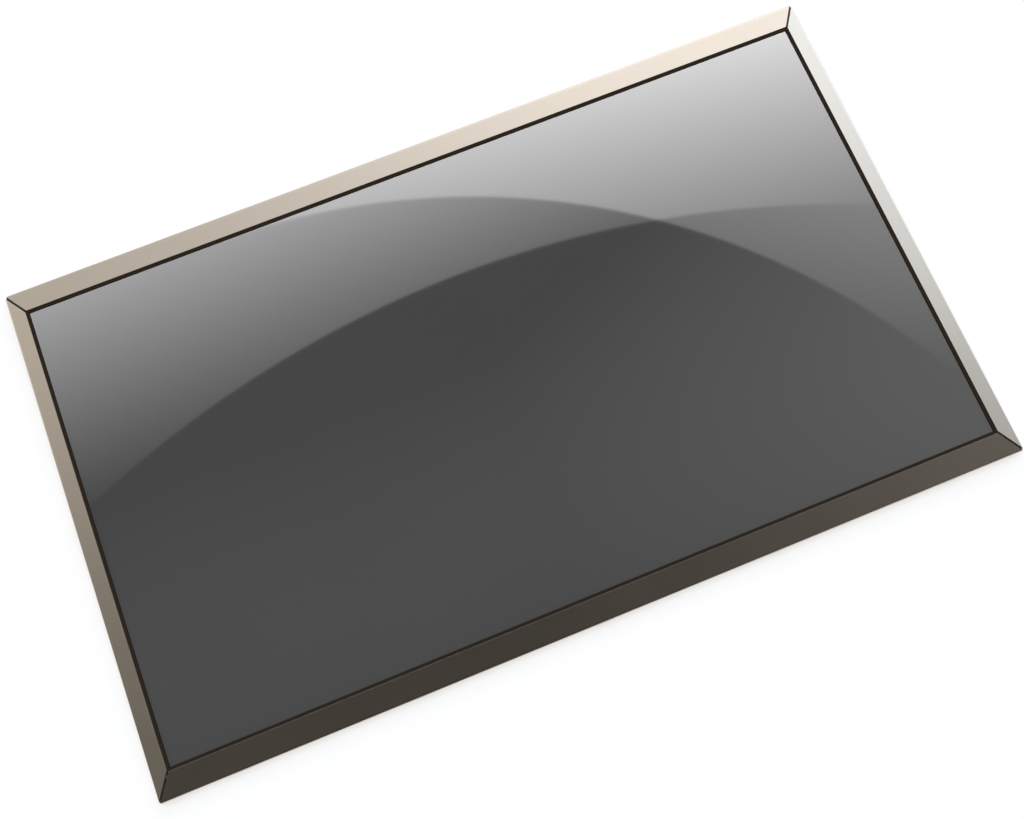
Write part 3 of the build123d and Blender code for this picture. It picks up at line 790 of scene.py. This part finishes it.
def gloss_card():
    """Card over the screen, seen only in its gloss: a fade from the top behind two round flags."""
    camera_height = CAMERA_PLACE.z - SCREEN_LEVEL
    # The card is this many times as far from the camera's mirror image as the screen
    spread = 2.0
    margin = 4.0 * MM
    eye = CAMERA_PLACE / MM

    def thrown(x, y):
        """Point of the card that the camera sees at a point of the screen."""
        return (eye.x * MM + (x - eye.x * MM) * spread, eye.y * MM + (y - eye.y * MM) * spread)

    low = thrown(-OPENING_X - margin, -OPENING_Y - margin)
    high = thrown(OPENING_X + margin, OPENING_Y + margin)
    level = SCREEN_LEVEL + camera_height * (spread - 1)
    card = level_sheet("gloss_card", low[0], high[0], low[1], high[1], level)
    material, _, place = new_material("gloss_card")
    tree = material.node_tree
    # Place on the screen in millimetres
    x = eye.x + (place.axis("X") / MM - eye.x) / spread
    y = eye.y + (place.axis("Y") / MM - eye.y) / spread

    def within(across, upward, radius):
        """1 inside a circle's radius and 0 outside, with a soft edge."""
        soft = 0.7
        distance = (across ** 2.0 + upward ** 2.0) ** 0.5
        return 1 - distance.step(radius - soft, radius + soft)

    # The hill is a round flag. The bow is round on its right and runs level to the left of its crest.
    under_hill = within(x + 1.4, y + 380.7, 426.0)
    under_bow = within((x + 92.0).largest(0.0), y + 191.0, 288.2)
    # Display tones of the four fields, as the glass shows them
    open_field = 0.396 + 0.00370 * y + 0.00053 * x
    bow_field = 0.247 + 0.00383 * y
    hill_field = 0.302 + 0.00174 * y + 0.00106 * x
    both_field = 0.276 - (0.00066 + 0.0000053 * y) * y + 0.00035 * x.largest(0.0)
    beside_hill = under_bow.blend(open_field, bow_field)
    behind_hill = under_bow.blend(hill_field, both_field)
    tone = under_hill.blend(beside_hill, behind_hill)
    # Light that gives those tones, from the screen's own tone and its mirror's share
    display_gamma = 2.2
    screen_base = 0.056
    mirror_share = 0.041
    light = ((tone ** display_gamma - screen_base) / mirror_share).largest(0.0)
    glow = place.node("ShaderNodeEmission", {"Color": light, "Strength": 1.0})
    tree.links.new(glow.socket, tree.nodes["Material Output"].inputs["Surface"])
    card.data.materials.append(material)
    for ray in ("camera", "diffuse", "transmission", "shadow", "volume_scatter"):
        setattr(card, f"visible_{ray}", False)
    only_screen = bpy.data.collections.new("gloss_card_receivers")
    only_screen.objects.link(CAD["front_polariser"])
    card.light_linking.receiver_collection = only_screen


def top_lamp():
    """Even soft light from above, which the gloss doesn't show."""
    share = 0.62
    lamp = bpy.data.lights.new("top_lamp", "SUN")
    lamp.energy = share * math.pi
    lamp.angle = math.radians(75.0)
    holder = bpy.data.objects.new("top_lamp", lamp)
    holder.location = (0.0, 0.0, 1.0)
    holder.visible_glossy = False
    bpy.context.scene.collection.objects.link(holder)


def studio():
    """White surround that darkens overhead, with a bright bank of light right and a weaker one left."""
    world = bpy.data.worlds.new("studio")
    world.use_nodes = True
    tree = world.node_tree
    way = Field(tree, tree.nodes.new("ShaderNodeTexCoord").outputs["Generated"])
    x, y, z = (way.axis(letter) for letter in "XYZ")
    # Degrees from +X towards +Y
    azimuth = y.maths("ARCTAN2", y, x) * math.degrees(1.0)
    foot = z.step(0.12, 0.36)
    top = z.step(0.743, 0.883)
    band = foot * (1 - top)

    def bank(start, full, fading, end, level):
        """Bank of light between two azimuths, soft at its ends, its foot and its top."""
        return azimuth.step(start, full) * (1 - azimuth.step(fading, end)) * band * level

    # Brightness of the surround by height, from the horizon to straight overhead
    stops = ((0.0, 1.0), (0.30, 1.0), (0.42, 0.28), (0.57, 0.13), (0.86, 0.06), (1.0, 0.03))
    surround = way.node("ShaderNodeValToRGB", {0: z}, stops=stops)
    right_bank = bank(-14.0, 38.0, 65.0, 120.0, 1.22)
    left_bank = bank(76.0, 143.0, 144.0, 169.0, 0.59)
    high_right = x.largest(0.0) ** 2.0 * z.step(0.6, 0.8) * 0.32
    light = surround + right_bank + left_bank + high_right
    # The right bank is a little cool, most of all at its right end
    cool = colour(0.925, 1.11, 1.37)
    near_white = colour(1.0, 1.035, 1.12)
    daylight = azimuth.step(32.0, 58.0).between(cool, near_white)
    tint = (right_bank / light).between(grey(1.0), daylight)
    background = tree.nodes["Background"]
    tree.links.new(tint.socket, background.inputs["Color"])
    tree.links.new(light.socket, background.inputs["Strength"])
    bpy.context.scene.world = world


def camera():
    """Camera that sees the panel as the photograph shows it."""
    lens = bpy.data.cameras.new("camera")
    lens.lens = FOCAL_LENGTH
    lens.sensor_width = SENSOR_WIDTH
    holder = bpy.data.objects.new("camera", lens)
    back = (CAMERA_PLACE - CAMERA_AIM).normalized()
    right = PICTURE_UP.cross(back).normalized()
    up = back.cross(right)
    turn = Matrix((right, up, back)).transposed().to_4x4()
    holder.matrix_world = Matrix.Translation(CAMERA_PLACE) @ turn
    bpy.context.scene.collection.objects.link(holder)
    bpy.context.scene.camera = holder


pale_floor()
gloss_card()
studio()
top_lamp()
camera()
bpy.context.scene.view_settings.view_transform = "Standard"
